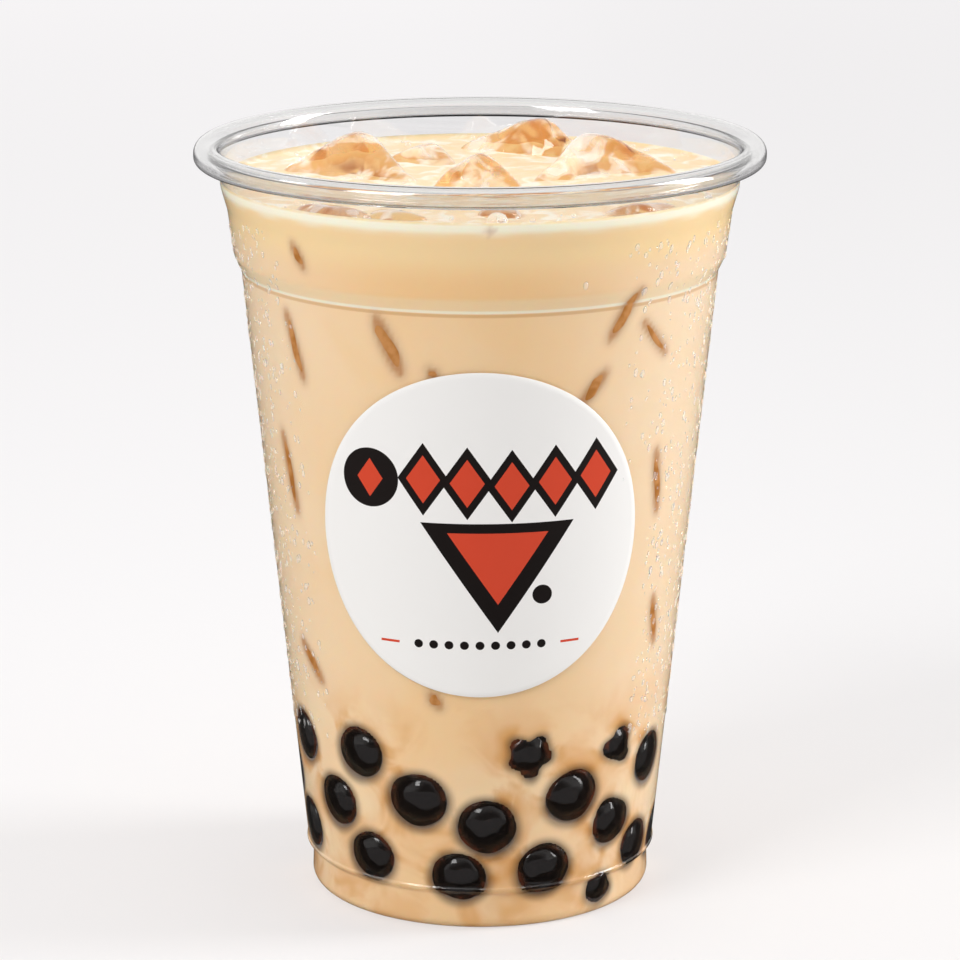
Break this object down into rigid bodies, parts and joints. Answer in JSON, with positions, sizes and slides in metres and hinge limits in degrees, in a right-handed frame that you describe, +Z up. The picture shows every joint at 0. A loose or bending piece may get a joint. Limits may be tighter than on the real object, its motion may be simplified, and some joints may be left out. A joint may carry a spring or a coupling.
{
  "type": "bubble tea",
  "caption": "Iced milk tea with tapioca pearls in a clear tapered plastic cup with a rolled lip, a stacking band and a round paper label.",
  "frame": {"origin": "centre of the cup's foot, on the surface that it stands on", "axes": "+Z up along the cup's axis; the label faces -Y; +X is to the right as the label is seen"},
  "size_m": [0.098, 0.098, 0.1326],
  "materials": {
    "clear_cup": "clear thermoformed PET, glossy",
    "label_paper": "coated sticker paper, satin, with a printed pattern of plain shapes",
    "milk_tea": "opaque milky liquid, wet, with pale foam at its surface",
    "ice": "clear wet ice, rounded by melting",
    "tapioca": "cooked tapioca, black-brown, wet and glossy"
  },
  "bodies": {
    "root": {"cup": "clear_cup", "ice_1": "ice", "ice_2": "ice", "ice_3": "ice", "ice_4": "ice", "ice_5": "ice", "label": "label_paper", "milk_tea": "milk_tea", "pearl_01": "tapioca", "pearl_02": "tapioca", "pearl_03": "tapioca", "pearl_04": "tapioca", "pearl_05": "tapioca", "pearl_06": "tapioca", "pearl_07": "tapioca", "pearl_08": "tapioca", "pearl_09": "tapioca", "pearl_10": "tapioca", "pearl_11": "tapioca", "pearl_12": "tapioca", "pearl_13": "tapioca", "pearl_14": "tapioca", "pearl_15": "tapioca", "pearl_16": "tapioca", "pearl_17": "tapioca", "pearl_18": "tapioca", "pearl_19": "tapioca", "pearl_20": "tapioca", "pearl_21": "tapioca", "pearl_22": "tapioca", "pearl_23": "tapioca", "pearl_24": "tapioca", "pearl_25": "tapioca", "pearl_26": "tapioca", "pearl_27": "tapioca", "pearl_28": "tapioca", "pearl_29": "tapioca", "pearl_30": "tapioca", "pearl_31": "tapioca", "pearl_32": "tapioca", "pearl_33": "tapioca", "pearl_34": "tapioca", "pearl_35": "tapioca", "pearl_36": "tapioca"}
  },
  "joints": []
}
